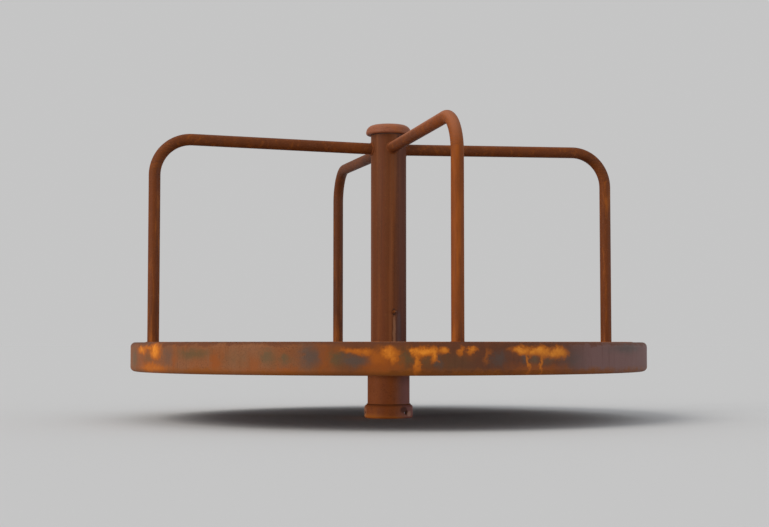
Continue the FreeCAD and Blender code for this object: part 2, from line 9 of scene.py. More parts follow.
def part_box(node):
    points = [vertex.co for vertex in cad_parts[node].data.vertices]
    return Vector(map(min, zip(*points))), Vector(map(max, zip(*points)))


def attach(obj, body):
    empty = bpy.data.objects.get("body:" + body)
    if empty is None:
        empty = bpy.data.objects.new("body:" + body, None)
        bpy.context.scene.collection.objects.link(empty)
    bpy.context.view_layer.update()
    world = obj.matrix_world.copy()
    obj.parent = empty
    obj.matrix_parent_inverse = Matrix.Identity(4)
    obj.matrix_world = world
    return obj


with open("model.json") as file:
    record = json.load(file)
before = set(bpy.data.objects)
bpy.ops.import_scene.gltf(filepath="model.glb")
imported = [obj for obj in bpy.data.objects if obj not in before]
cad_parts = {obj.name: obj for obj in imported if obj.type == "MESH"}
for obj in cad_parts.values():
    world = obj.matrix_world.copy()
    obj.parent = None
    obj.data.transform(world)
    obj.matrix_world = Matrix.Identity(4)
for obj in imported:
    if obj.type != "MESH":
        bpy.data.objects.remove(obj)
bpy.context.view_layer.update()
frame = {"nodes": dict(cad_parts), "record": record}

# Places read from the CAD frame, in metres. +Z is the spin axis and -Y is the front.
NODES = frame["nodes"]
RIM_LOW, RIM_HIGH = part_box("rim_band")
DECK_TOP = RIM_HIGH.z
DECK_RADIUS = RIM_HIGH.x
RIM_HEIGHT = RIM_HIGH.z - RIM_LOW.z
COLUMN_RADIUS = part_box("centre_column")[1].x
COLLAR_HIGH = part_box("base_collar")[1]
FOOT_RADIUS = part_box("foot_tube")[1].x
CAP_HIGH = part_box("top_cap")[1]
FLANGE_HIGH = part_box("column_flange")[1]
SPOKE_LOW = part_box("spoke_1")[0]
DRUM_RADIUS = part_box("hub_drum")[1].x
TUBE_WIDTH = 0.045
ARM_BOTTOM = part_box("handrail_1")[1].z - TUBE_WIDTH
RAIL_COUNT = 4
SPOKE_COUNT = 8
DULL = 0.13                 # specular level: rust scatters most light, so it reflects little


def middle(node):
    low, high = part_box(node)
    return (low + high) / 2


def around(angle, radius, z):
    return Vector((radius * math.cos(angle), radius * math.sin(angle), z))


# Node trees


class Paint:
    """One material's node tree. An argument may be a number, a colour or a socket."""

    def __init__(self, name):
        self.material = bpy.data.materials.new(name)
        self.material.use_nodes = True
        self.tree = self.material.node_tree
        self.tree.nodes.clear()
        self.shader = self.add("ShaderNodeBsdfPrincipled")
        output = self.add("ShaderNodeOutputMaterial")
        self.shader.inputs["Specular IOR Level"].default_value = DULL
        self.tree.links.new(self.shader.outputs[0], output.inputs[0])
        coordinates = self.add("ShaderNodeTexCoord")
        self.place = coordinates.outputs["Object"]
        self.normal = coordinates.outputs["Normal"]

    def add(self, kind, **settings):
        node = self.tree.nodes.new(kind)
        for key, value in settings.items():
            setattr(node, key, value)
        return node

    def feed(self, socket, value):
        if isinstance(value, bpy.types.NodeSocket):
            self.tree.links.new(value, socket)
            return
        if socket.type == "RGBA" and len(value) == 3:
            value = (*value, 1.0)
        socket.default_value = value

    def math(self, operation, a, b=0.0):
        node = self.add("ShaderNodeMath", operation=operation)
        self.feed(node.inputs[0], a)
        self.feed(node.inputs[1], b)
        return node.outputs[0]

    def times(self, a, b):
        return self.math("MULTIPLY", a, b)

    def plus(self, a, b):
        return self.math("ADD", a, b)

    def most(self, a, b):
        return self.math("MAXIMUM", a, b)

    def vector(self, operation, a, b=(0, 0, 0)):
        node = self.add("ShaderNodeVectorMath", operation=operation)
        self.feed(node.inputs[0], a)
        self.feed(node.inputs[1], b)
        return node.outputs[1 if operation == "LENGTH" else 0]

    def split(self, vector):
        node = self.add("ShaderNodeSeparateXYZ")
        self.feed(node.inputs[0], vector)
        return node.outputs

    def join(self, x, y, z=0.0):
        node = self.add("ShaderNodeCombineXYZ")
        for socket, value in zip(node.inputs, (x, y, z)):
            self.feed(socket, value)
        return node.outputs[0]

    def ease(self, value, low, high, start=0.0, end=1.0):
        """Goes smoothly from start to end as value goes from low to high."""
        node = self.add("ShaderNodeMapRange", interpolation_type="SMOOTHSTEP")
        for socket, entry in zip(node.inputs, (value, low, high, start, end)):
            self.feed(socket, entry)
        return node.outputs[0]

    def scale(self, value, low, high):
        """Spreads a value of 0 to 1 from low to high."""
        return self.plus(self.times(value, high - low), low)

    def noise(self, vector, scale, detail=4.0, roughness=0.6, distortion=0.0):
        node = self.add("ShaderNodeTexNoise")
        self.feed(node.inputs["Vector"], vector)
        self.feed(node.inputs["Scale"], scale)
        self.feed(node.inputs["Detail"], detail)
        self.feed(node.inputs["Roughness"], roughness)
        self.feed(node.inputs["Distortion"], distortion)
        return node.outputs[0]

    def cells(self, vector, scale):
        node = self.add("ShaderNodeTexVoronoi")
        self.feed(node.inputs["Vector"], vector)
        self.feed(node.inputs["Scale"], scale)
        return node.outputs[0]

    def mix(self, share, a, b):
        node = self.add("ShaderNodeMix", data_type="RGBA")
        self.feed(node.inputs[0], share)
        self.feed(node.inputs[6], a)
        self.feed(node.inputs[7], b)
        return node.outputs[2]

    def over(self, colour, tone, mask, share):
        """Lays a tone over a colour where the mask is, up to a share."""
        return self.mix(self.times(mask, share), colour, tone)

    def finish(self, colour, roughness, height, depth):
        """Colour, roughness and a bump whose height of 0 to 1 stands for depth in metres."""
        self.feed(self.shader.inputs["Base Color"], colour)
        self.feed(self.shader.inputs["Roughness"], roughness)
        bump = self.add("ShaderNodeBump")
        self.feed(bump.inputs["Height"], height)
        self.feed(bump.inputs["Distance"], depth)
        self.tree.links.new(bump.outputs[0], self.shader.inputs["Normal"])
        return self.material


# Tones, linear. rust() takes a part's ground, deep, warm and dust.
DARK = (0.045, 0.015, 0.006)
UMBER = (0.078, 0.023, 0.006)
RED_BROWN = (0.138, 0.034, 0.006)
SIENNA = (0.195, 0.050, 0.006)
ORANGE = (0.360, 0.100, 0.008)
SALMON = (0.260, 0.095, 0.046)
TAN = (0.215, 0.085, 0.032)

RIM_TONES = {
    "ground": (0.200, 0.078, 0.032),
    "deep": (0.172, 0.052, 0.015),
    "warm": (0.240, 0.062, 0.008),
    "dust": (0.225, 0.102, 0.042),
    "orange_brown": (0.098, 0.028, 0.005),
    "umber": (0.088, 0.031, 0.016),
    "grey_purple": (0.165, 0.088, 0.078),
    "red": (0.225, 0.054, 0.005),
    "green_paint": (0.084, 0.058, 0.024),
    "blue_paint": (0.066, 0.051, 0.042),
    "top_edge": (0.105, 0.033, 0.014),
    "bottom_edge": (0.195, 0.056, 0.005),
    "glow": (0.270, 0.064, 0.004),
    "bright": (0.460, 0.126, 0.007),
    "crust": (0.700, 0.245, 0.024),
}
RAIL_TONES = {
    "ground": (0.130, 0.032, 0.006),
    "deep": UMBER,
    "warm": SIENNA,
    "dust": SALMON,
    "front": (0.240, 0.056, 0.005),
    # painted highlight: a lighter tone laid on the top of the front handrail
    "painted_top_highlight": (0.330, 0.120, 0.058),
}
COLUMN_TONES = {
    "ground": (0.122, 0.034, 0.009),
    "deep": (0.086, 0.024, 0.006),
    "warm": SIENNA,
    "dust": TAN,
    "pale_run": (0.200, 0.068, 0.024),
    "red_run": (0.105, 0.023, 0.005),
    # painted shade: a darker purple-brown laid on the column's right-hand side
    "painted_side_shading": (0.066, 0.021, 0.017),
    "damp": (0.062, 0.020, 0.011),
    "nipple_run": (0.235, 0.108, 0.055),
    "grease": (0.030, 0.013, 0.008),
}
CAP_TONES = {
    "ground": (0.255, 0.088, 0.045),
    "deep": (0.170, 0.050, 0.020),
    "warm": ORANGE,
    "dust": (0.330, 0.140, 0.080),
    # painted highlight: a lighter tone laid on the top of the cap
    "top": (0.340, 0.135, 0.078),
}
FOOT_TONES = {
    "ground": (0.310, 0.086, 0.026),
    "deep": (0.215, 0.055, 0.013),
    "warm": (0.380, 0.095, 0.012),
    "dust": (0.360, 0.150, 0.070),
    "low": (0.480, 0.150, 0.022),
    "front": (0.190, 0.040, 0.008),
    # painted light: a paler purple-grey laid on the foot's right-hand side, as a cool light would make
    # it
    "painted_side_shading": (0.290, 0.112, 0.090),
    "dark_spot": (0.075, 0.020, 0.008),
    "pale_spot": (0.520, 0.250, 0.150),
}
DECK_TONES = {
    "ground": (0.200, 0.060, 0.020),
    "deep": UMBER,
    "warm": ORANGE,
    "dust": TAN,
    "rubbed": (0.300, 0.170, 0.115),
}
FRAME_TONES = {"ground": (0.130, 0.036, 0.010), "deep": DARK, "warm": SIENNA, "dust": TAN}
WELD_TONES = {"ground": (0.145, 0.037, 0.008), "deep": RED_BROWN, "warm": SIENNA, "dust": SALMON}
FASTENER_TONES = {"ground": UMBER, "deep": DARK, "warm": SIENNA, "dust": ORANGE}

ZINC = (0.24, 0.22, 0.20)
BARE_STEEL = (0.52, 0.51, 0.49)
GROOVED_STEEL = (0.34, 0.33, 0.31)
OLD_GREASE = (0.16, 0.11, 0.06)
BRASS = (0.56, 0.39, 0.14)
TARNISH = (0.24, 0.14, 0.05)
RUBBER = (0.022, 0.021, 0.020)
RUBBER_DUST = (0.110, 0.080, 0.060)


def rust(paint, tones, runs=None, mottle=0.5):
    """Layered rust: ground and deep tones, warm powdery patches, specks, pits and pale dust.

    The patches follow the place given as runs. A mottle of 0 is even and 1 is strongly patched.
    Returns the colour, roughness and height, for a material to use or to paint over."""
    place = paint.place
    broad = paint.noise(place, 3.1, 3.0, 0.5, 0.4)
    patches = paint.noise(runs or place, 11.0, 7.0, 0.62, 0.8)
    blotches = paint.noise(place, 38.0, 5.0, 0.66, 0.3)
    grain = paint.noise(place, 330.0, 3.0, 0.6)
    pitted = paint.ease(paint.noise(place, 17.0, 3.0, 0.6), 0.50, 0.62)
    pits = paint.times(paint.ease(paint.cells(place, 165.0), 0.10, 0.34, 1.0, 0.0), pitted)
    warm_mask = paint.ease(patches, 0.46, 0.66)
    flecks = paint.ease(paint.plus(paint.times(grain, 0.6), paint.times(blotches, 0.4)), 0.53, 0.66)
    facing_up = paint.ease(paint.split(paint.normal)[2], 0.35, 1.0)

    colour = paint.over(tones["ground"], tones["deep"], paint.ease(broad, 0.36, 0.66), mottle)
    colour = paint.over(colour, tones["deep"], paint.ease(blotches, 0.50, 0.70), 0.7 * mottle)
    colour = paint.over(colour, tones["warm"], warm_mask, mottle)
    colour = paint.over(colour, tones["dust"], flecks, 0.35)
    colour = paint.over(colour, DARK, paint.ease(grain, 0.50, 0.36), 0.35)
    colour = paint.over(colour, DARK, pits, 0.70)
    colour = paint.over(colour, tones["dust"], facing_up, paint.scale(blotches, 0.05, 0.45))

    roughness = paint.scale(patches, 0.44, 0.80)
    roughness = paint.plus(roughness, paint.scale(grain, -0.07, 0.07))
    height = paint.plus(paint.times(grain, 0.30), paint.times(blotches, 0.45))
    height = paint.plus(height, paint.times(warm_mask, 0.18))
    height = paint.plus(height, paint.times(pits, -0.35))
    return colour, roughness, height


def streaks(paint, stretch):
    """The place with its height squeezed, so that noise there turns into upright runs."""
    return paint.vector("MULTIPLY", paint.place, (1.0, 1.0, stretch))


def azimuth(paint):
    """Degrees round from the front, which is -Y, towards +X."""
    x, y, _ = paint.split(paint.place)
    angle = paint.math("ARCTAN2", x, paint.times(y, -1.0))
    return paint.times(angle, 180.0 / math.pi)


def spots(paint, spread, places, softness):
    """A mask with a soft oval at each place: centre, half width, centre down, half height, strength."""
    total = 0.0
    for across, half_across, down, half_down, strength in places:
        offset = paint.vector("SUBTRACT", spread, (across, down, 0))
        offset = paint.vector("MULTIPLY", offset, (1 / half_across, 1 / half_down, 0))
        distance = paint.vector("LENGTH", offset)
        oval = paint.ease(distance, 1.0 - softness, 1.0 + softness, strength, 0.0)
        total = paint.most(total, oval)
    return total


# Marks on the front half of the rim. Each is an oval: degrees round from the front, half width in
# degrees, depth below the top edge and half height as shares of the rim's height, and strength.
RIM_HOT = [             # bright powdery rust, and its runs
    (-63.5, 2.0, 0.27, 0.10, 0.85), (-60.0, 3.0, 0.21, 0.07, 0.60), (-56.4, 2.4, 0.30, 0.20, 1.00),
    (-57.5, 5.5, 0.84, 0.13, 0.45),
    (-6.4, 1.6, 0.25, 0.09, 0.45), (-4.4, 1.5, 0.27, 0.10, 0.50),
    (-1.9, 1.7, 0.42, 0.18, 0.22), (0.3, 1.5, 0.32, 0.15, 0.72), (0.9, 0.7, 0.46, 0.16, 0.62),
    (5.0, 0.8, 0.28, 0.12, 0.80), (6.8, 1.9, 0.28, 0.13, 1.00), (8.3, 0.6, 0.34, 0.20, 0.85),
    (5.4, 0.5, 0.60, 0.32, 0.55), (10.5, 1.1, 0.26, 0.10, 0.75), (14.5, 0.5, 0.30, 0.12, 0.55),
    (16.2, 0.6, 0.25, 0.11, 0.75), (19.0, 0.5, 0.38, 0.22, 0.22),
    (26.6, 2.2, 0.24, 0.11, 0.95), (30.5, 3.2, 0.27, 0.14, 1.00), (34.6, 1.9, 0.30, 0.17, 1.00),
    (27.8, 0.4, 0.58, 0.34, 0.55), (30.7, 0.4, 0.60, 0.36, 0.60),
]
RIM_WARM = [            # redder rust
    (-60.0, 7.0, 0.60, 0.40, 0.60), (-48.2, 1.0, 0.50, 0.36, 0.55), (-35.7, 1.5, 0.64, 0.34, 0.95),
    (-27.0, 2.0, 0.70, 0.26, 0.75), (-19.5, 2.6, 0.86, 0.13, 0.80), (-12.0, 1.7, 0.48, 0.42, 0.80),
    (-7.0, 4.0, 0.24, 0.12, 0.80), (-1.6, 3.6, 0.62, 0.42, 1.00), (1.6, 1.4, 0.60, 0.26, 0.90),
    (6.6, 2.2, 0.36, 0.20, 0.70), (5.3, 0.9, 0.66, 0.30, 0.60), (15.4, 1.8, 0.32, 0.18, 0.45),
    (30.5, 7.0, 0.86, 0.24, 1.00), (30.5, 5.6, 0.34, 0.20, 0.70),
]
RIM_GREEN = [           # what is left of grey-green paint
    (-70.0, 2.6, 0.55, 0.32, 0.75), (-59.2, 2.6, 0.53, 0.13, 0.60), (-42.2, 5.0, 0.36, 0.17, 0.85),
    (-31.0, 3.4, 0.50, 0.26, 0.45), (-23.3, 1.8, 0.46, 0.24, 0.85), (-20.0, 1.2, 0.47, 0.14, 0.85),
    (-9.6, 1.9, 0.48, 0.22, 0.85), (3.6, 1.6, 0.48, 0.26, 0.80), (7.0, 1.1, 0.56, 0.20, 0.55),
    (12.6, 3.8, 0.60, 0.26, 0.40), (29.2, 0.7, 0.53, 0.19, 0.70), (32.4, 1.7, 0.50, 0.15, 0.55),
]
RIM_BLUE = [            # and of blue-grey paint
    (-51.0, 2.0, 0.42, 0.36, 0.60), (-15.0, 2.0, 0.42, 0.34, 0.90), (-6.2, 2.3, 0.55, 0.17, 0.95),
    (9.2, 0.7, 0.58, 0.22, 0.70), (21.2, 1.6, 0.48, 0.24, 0.75), (26.6, 0.8, 0.46, 0.15, 0.85),
    (38.6, 3.4, 0.52, 0.30, 0.60), (59.0, 8.0, 0.20, 0.16, 0.80),
]


class RimPaint(Paint):
    """The rim's node tree, with the places, noise and masks that its layers share."""

    def __init__(self):
        super().__init__("rim_rust")
        _, y, z = self.split(self.place)
        wander = self.noise(self.place, 16.0, 3.0, 0.6)
        sway = self.noise(self.place, 23.0, 3.0, 0.6)
        self.ripple = self.noise(self.place, 70.0, 5.0, 0.66)
        self.down = self.times(self.plus(self.times(z, -1.0), DECK_TOP), 1.0 / RIM_HEIGHT)
        loose_angle = self.plus(azimuth(self), self.scale(wander, -2.2, 2.2))
        self.loose_angle = self.plus(loose_angle, self.scale(self.ripple, -1.0, 1.0))
        loose_down = self.plus(self.down, self.scale(sway, -0.18, 0.18))
        self.loose_down = self.plus(loose_down, self.scale(self.ripple, -0.09, 0.09))
        self.spread = self.join(self.loose_angle, self.loose_down)
        self.front = self.ease(y, -0.05, 0.10, 1.0, 0.0)
        self.back = self.ease(y, -0.05, 0.10)

    def flaked(self, mask, thin):
        """Breaks a mask up into flakes, fewest where it is strong. Between them, thin is left of it."""
        broken = self.plus(mask, self.scale(self.ripple, -1.0, 1.0))
        return self.times(mask, self.ease(broken, 0.15, 0.85, thin, 1.0))

    def either(self, on_front, on_back):
        return self.plus(self.times(on_front, self.front), self.times(on_back, self.back))


def rim_ground(rim):
    """Tan at one end of the front half, through orange-brown and umber, to grey-purple at the other.

    The back half has the same tones here and there."""
    tones = rim.noise(rim.place, 1.9, 3.0, 0.5)
    streak = rim.noise(streaks(rim, 0.06), 90.0, 4.0, 0.6)
    colour, roughness, height = rust(rim, RIM_TONES, streaks(rim, 0.5), 0.35)
    orange_brown = rim.either(rim.ease(rim.loose_angle, -26.0, -6.0), rim.ease(tones, 0.50, 0.58))
    umber = rim.either(rim.ease(rim.loose_angle, 3.0, 14.0), rim.ease(tones, 0.56, 0.64))
    grey_purple = rim.either(rim.ease(rim.loose_angle, 33.0, 46.0), rim.ease(tones, 0.44, 0.37))
    colour = rim.over(colour, RIM_TONES["orange_brown"], orange_brown, 0.70)
    colour = rim.over(colour, RIM_TONES["umber"], umber, 0.72)
    colour = rim.over(colour, RIM_TONES["grey_purple"], grey_purple, 0.85)
    colour = rim.over(colour, DARK, rim.ease(streak, 0.54, 0.70), 0.22)
    return colour, roughness, height


def rim_red(rim, colour):
    patches = rim.noise(rim.place, 7.0, 4.0, 0.6, 0.6)
    red = rim.either(spots(rim, rim.spread, RIM_WARM, 0.80), rim.ease(patches, 0.52, 0.66))
    return rim.over(colour, RIM_TONES["red"], rim.flaked(red, 0.7), 0.85)


def rim_old_paint(rim, colour):
    """What is left of the old paint, and where."""
    islands = rim.noise(rim.vector("MULTIPLY", rim.place, (1.0, 1.0, 1.6)), 5.2, 4.0, 0.55, 0.5)
    middle_band = rim.times(rim.ease(rim.down, 0.06, 0.25), rim.ease(rim.down, 0.94, 0.72))
    back_green = rim.times(rim.ease(islands, 0.53, 0.64), middle_band)
    back_blue = rim.times(rim.ease(islands, 0.46, 0.36), middle_band)
    green = rim.flaked(rim.either(spots(rim, rim.spread, RIM_GREEN, 0.85), back_green), 0.60)
    blue = rim.flaked(rim.either(spots(rim, rim.spread, RIM_BLUE, 0.85), back_blue), 0.60)
    colour = rim.over(colour, RIM_TONES["green_paint"], green, 0.85)
    colour = rim.over(colour, RIM_TONES["blue_paint"], blue, 0.85)
    return colour, rim.most(green, blue)


def rim_edges(rim, colour):
    """A brown top edge and an orange bottom edge."""
    fresh = rim.ease(rim.noise(rim.place, 6.0, 4.0, 0.6), 0.38, 0.60)
    top = rim.ease(rim.loose_down, 0.15, 0.03)
    bottom = rim.ease(rim.loose_down, 0.74, 0.95)
    colour = rim.over(colour, RIM_TONES["top_edge"], top, 0.75)
    return rim.over(colour, RIM_TONES["bottom_edge"], bottom, rim.scale(fresh, 0.30, 0.85))


def rim_bright(rim, colour):
    """Bright rust that has run down from the top edge, and where it is."""
    along_rim = streaks(rim, 0.04)
    source = rim.ease(rim.noise(along_rim, 5.0, 2.0, 0.5), 0.50, 0.66)
    reach = rim.scale(rim.noise(along_rim, 34.0, 3.0, 0.6), -0.55, 1.45)
    reach = rim.times(source, reach)
    runs = rim.ease(rim.math("SUBTRACT", reach, rim.down), -0.10, 0.22, 0.0, 0.85)
    clear = rim.ease(rim.loose_down, 0.04, 0.16)
    bright = rim.either(spots(rim, rim.spread, RIM_HOT, 0.85), rim.times(runs, clear))
    glow = rim.ease(bright, 0.0, 0.40)
    bright = rim.flaked(bright, 0.75)
    crust = rim.ease(rim.ripple, 0.38, 0.64, 0.35, 0.80)
    colour = rim.over(colour, RIM_TONES["glow"], glow, 0.68)
    colour = rim.mix(bright, colour, RIM_TONES["bright"])
    colour = rim.over(colour, RIM_TONES["crust"], rim.times(bright, bright), crust)
    return colour, bright


def rim_material():
    rim = RimPaint()
    colour, roughness, height = rim_ground(rim)
    colour = rim_red(rim, colour)
    colour, paint_left = rim_old_paint(rim, colour)
    colour = rim_edges(rim, colour)
    colour, bright = rim_bright(rim, colour)
    roughness = rim.plus(roughness, rim.times(paint_left, -0.12))
    roughness = rim.plus(roughness, rim.times(bright, 0.10))
    height = rim.plus(height, rim.times(bright, 0.35))
    height = rim.plus(height, rim.times(paint_left, 0.22))
    return rim.finish(colour, roughness, height, 0.0011)


def rail_material():
    """Runs go down the uprights; the arms are patchy all over.

    The handrail at the front is a warmer brown, with a painted highlight on its upward-facing surfaces,
    and the one at the back is darkened with painted shade."""
    paint = Paint("rail_rust")
    x, y, z = paint.split(paint.place)
    upright_part = paint.ease(z, ARM_BOTTOM, ARM_BOTTOM - 0.10)
    squeezed = paint.times(z, paint.scale(upright_part, 1.0, 0.12))
    along = paint.join(x, y, squeezed)
    colour, roughness, height = rust(paint, RAIL_TONES, along, 0.40)
    runs = paint.noise(along, 52.0, 4.0, 0.6)
    run_share = paint.scale(upright_part, 0.24, 0.40)
    colour = paint.over(colour, ORANGE, paint.ease(runs, 0.51, 0.70), run_share)

    warmer = paint.ease(runs, 0.25, 0.60, 0.15, 0.60)
    colour = paint.over(colour, RAIL_TONES["front"], paint.ease(y, -0.25, -0.75), warmer)
    # Painted highlight: the upward-facing surfaces of the front handrail get a lighter tone.
    upward = paint.ease(paint.split(paint.normal)[2], 0.0, 0.8)
    ahead = paint.math("SUBTRACT", paint.times(y, -1.0), paint.math("ABSOLUTE", x))
    painted_top_highlight = paint.times(paint.ease(ahead, 0.0, 0.10), upward)
    colour = paint.over(colour, RAIL_TONES["painted_top_highlight"], painted_top_highlight, 0.70)
    # Painted shade: the handrail at the back is darkened.
    colour = paint.mix(paint.ease(y, 0.25, 0.75, 0.0, 0.35), colour, DARK)

    splash = paint.ease(z, DECK_TOP + 0.09, DECK_TOP, 0.0, 0.40)
    colour = paint.over(colour, ORANGE, splash, paint.ease(runs, 0.40, 0.60))
    return paint.finish(colour, roughness, height, 0.0007)


def nipple_marks(paint, colour):
    """Grease and dirt on the column below the nipple, and where it is damp with them, and painted shade
    down the column's right-hand side.
    """
    nipple = middle("grease_nipple")
    turn = math.degrees(math.atan2(nipple.x, -nipple.y))
    z = paint.split(paint.place)[2]
    wander = paint.noise(paint.place, 34.0, 4.0, 0.6)
    angle = paint.plus(azimuth(paint), paint.scale(wander, -4.0, 4.0))
    spread = paint.join(angle, paint.plus(z, paint.scale(wander, -0.006, 0.006)))
    foot = DECK_TOP - 0.01
    half = (nipple.z - foot) / 2
    run = spots(paint, spread, [(turn + 1.0, 4.6, foot + half * 0.86, half * 0.98, 1.0)], 0.35)
    edge = spots(paint, spread, [(turn - 5.0, 1.8, foot + half * 0.92, half * 1.00, 1.0)], 0.35)
    damp = spots(paint, spread, [(turn + 16.0, 12.0, foot + half * 0.9, half * 1.15, 1.0)], 0.30)
    grease = spots(paint, spread, [(turn, 6.0, nipple.z, 0.015, 1.0)], 0.35)
    # Painted shade: the right-hand side of the column is darkened.
    side = paint.times(paint.ease(angle, 22.0, 48.0), paint.ease(angle, 150.0, 100.0))
    colour = paint.over(colour, COLUMN_TONES["painted_side_shading"], side, 0.55)
    colour = paint.over(colour, COLUMN_TONES["damp"], damp, 0.60)
    colour = paint.over(colour, DARK, edge, 0.45)
    colour = paint.over(colour, COLUMN_TONES["nipple_run"], run, 0.75)
    colour = paint.over(colour, COLUMN_TONES["grease"], grease, 0.85)
    return colour, damp


def column_material():
    """Rust in long upright runs, with painted shade down the right-hand side, and marks below the
    nipple.
    """
    paint = Paint("column_rust")
    colour, roughness, height = rust(paint, COLUMN_TONES, streaks(paint, 0.10), 0.40)
    wide = paint.noise(streaks(paint, 0.015), 30.0, 2.0, 0.5)
    narrow = paint.noise(streaks(paint, 0.02), 110.0, 3.0, 0.6)
    colour = paint.over(colour, COLUMN_TONES["pale_run"], paint.ease(wide, 0.52, 0.62), 0.45)
    colour = paint.over(colour, COLUMN_TONES["red_run"], paint.ease(wide, 0.46, 0.36), 0.45)
    colour = paint.over(colour, DARK, paint.ease(narrow, 0.52, 0.64), 0.25)
    colour, damp = nipple_marks(paint, colour)
    roughness = paint.plus(roughness, paint.times(damp, -0.14))
    return paint.finish(colour, roughness, height, 0.0007)


def cap_material():
    paint = Paint("cap_rust")
    colour, roughness, height = rust(paint, CAP_TONES, None, 0.30)
    z = paint.split(paint.place)[2]
    # Painted highlight: the top of the cap is made lighter.
    top = paint.ease(z, CAP_HIGH.z - 0.020, CAP_HIGH.z - 0.004)
    colour = paint.over(colour, CAP_TONES["top"], top, 0.45)
    roughness = paint.plus(roughness, -0.10)
    return paint.finish(colour, roughness, height, 0.0007)


# Marks on the collar: as for the rim, but with the height and half height in metres.
COLLAR_DARK_SPOTS = [(38.0, 11.0, 0.034, 0.011, 1.0), (47.0, 5.0, 0.024, 0.012, 1.0)]
COLLAR_PALE_SPOTS = [(58.0, 8.0, 0.018, 0.010, 1.0), (-76.0, 9.0, 0.026, 0.018, 0.7)]


def foot_material():
    """A pale, dusty rust, orange along the ground, with darker and paler spots on the collar, and a
    painted cool light down the right-hand side.
    """
    paint = Paint("foot_rust")
    colour, roughness, height = rust(paint, FOOT_TONES, streaks(paint, 0.3), 0.45)
    z = paint.split(paint.place)[2]
    wander = paint.noise(paint.place, 30.0, 5.0, 0.6)
    angle = paint.plus(azimuth(paint), paint.scale(wander, -9.0, 9.0))
    low = paint.ease(paint.plus(z, paint.scale(wander, -0.014, 0.014)), 0.024, 0.006)
    colour = paint.over(colour, FOOT_TONES["low"], low, 0.75)
    front = paint.times(paint.ease(angle, -40.0, -10.0), paint.ease(angle, 30.0, 8.0))
    colour = paint.over(colour, FOOT_TONES["front"], front, 0.40)
    # Painted light: the right-hand side of the foot and collar is made paler and cooler.
    side = paint.times(paint.ease(angle, 12.0, 55.0), paint.ease(angle, 150.0, 100.0))
    colour = paint.over(colour, FOOT_TONES["painted_side_shading"], side, 0.80)
    spread = paint.join(angle, paint.plus(z, paint.scale(wander, -0.005, 0.005)))
    dark_spot = spots(paint, spread, COLLAR_DARK_SPOTS, 0.35)
    pale_spot = spots(paint, spread, COLLAR_PALE_SPOTS, 0.40)
    colour = paint.over(colour, FOOT_TONES["dark_spot"], dark_spot, 0.80)
    colour = paint.over(colour, FOOT_TONES["pale_spot"], pale_spot, 0.80)
    return paint.finish(colour, roughness, height, 0.0008)


def deck_material():
    """Raised-tread plate: rusty ground, with the tops of the tread rubbed smoother."""
    paint = Paint("deck_rust")
    colour, roughness, height = rust(paint, DECK_TONES, None, 0.60)
    x, y, z = paint.split(paint.place)
    on_top = paint.ease(z, DECK_TOP + 0.0009, DECK_TOP + 0.0015)
    trodden = paint.ease(paint.noise(paint.place, 4.0, 3.0, 0.5), 0.38, 0.60)
    worn = paint.times(on_top, paint.scale(trodden, 0.25, 0.95))
    colour = paint.over(colour, DECK_TONES["rubbed"], worn, 0.75)
    roughness = paint.plus(roughness, paint.times(worn, -0.25))
    radius = paint.vector("LENGTH", paint.join(x, y))
    ragged = paint.scale(paint.noise(paint.place, 8.0, 4.0, 0.6), -0.06, 0.06)
    damp = paint.ease(paint.plus(radius, ragged), 0.86, 0.97)
    colour = paint.over(colour, ORANGE, damp, 0.45)
    return paint.finish(colour, roughness, height, 0.0007)


def frame_material():
    paint = Paint("frame_rust")
    colour, roughness, height = rust(paint, FRAME_TONES, streaks(paint, 0.6), 0.60)
    return paint.finish(colour, roughness, height, 0.0008)


def weld_material():
    paint = Paint("weld_rust")
    colour, roughness, height = rust(paint, WELD_TONES, None, 0.50)
    return paint.finish(colour, roughness, height, 0.0004)


def fastener_material():
    """Zinc plate that has mostly gone to rust, with some grey left."""
    paint = Paint("fastener_rust")
    colour, roughness, height = rust(paint, FASTENER_TONES, None, 0.60)
    left = paint.ease(paint.noise(paint.place, 120.0, 4.0, 0.6), 0.54, 0.62)
    colour = paint.over(colour, ZINC, left, 0.60)
    paint.feed(paint.shader.inputs["Metallic"], paint.times(left, 0.7))
    roughness = paint.plus(roughness, paint.times(left, -0.25))
    return paint.finish(colour, roughness, height, 0.0003)


def bearing_material():
    """Ground steel under a film of old grease."""
    paint = Paint("bearing_steel")
    film = paint.noise(paint.place, 60.0, 4.0, 0.6)
    grooves = paint.noise(paint.vector("MULTIPLY", paint.place, (1.0, 1.0, 14.0)), 160.0, 3.0, 0.5)
    greasy = paint.ease(film, 0.48, 0.62)
    colour = paint.mix(greasy, BARE_STEEL, OLD_GREASE)
    colour = paint.over(colour, GROOVED_STEEL, grooves, 0.25)
    paint.shader.inputs["Metallic"].default_value = 1.0
    roughness = paint.plus(paint.scale(grooves, 0.20, 0.32), paint.times(greasy, 0.25))
    return paint.finish(colour, roughness, grooves, 0.00006)


def brass_material():
    paint = Paint("cage_brass")
    tarnish = paint.noise(paint.place, 90.0, 5.0, 0.6)
    colour = paint.mix(paint.ease(tarnish, 0.40, 0.66), BRASS, TARNISH)
    paint.shader.inputs["Metallic"].default_value = 1.0
    return paint.finish(colour, paint.scale(tarnish, 0.28, 0.55), tarnish, 0.00008)


def rubber_material():
    paint = Paint("seal_rubber")
    grain = paint.noise(paint.place, 420.0, 3.0, 0.6)
    dusty = paint.ease(paint.noise(paint.place, 45.0, 4.0, 0.6), 0.48, 0.66)
    colour = paint.over(RUBBER, RUBBER_DUST, dusty, 0.5)
    return paint.finish(colour, paint.scale(dusty, 0.62, 0.88), grain, 0.00015)


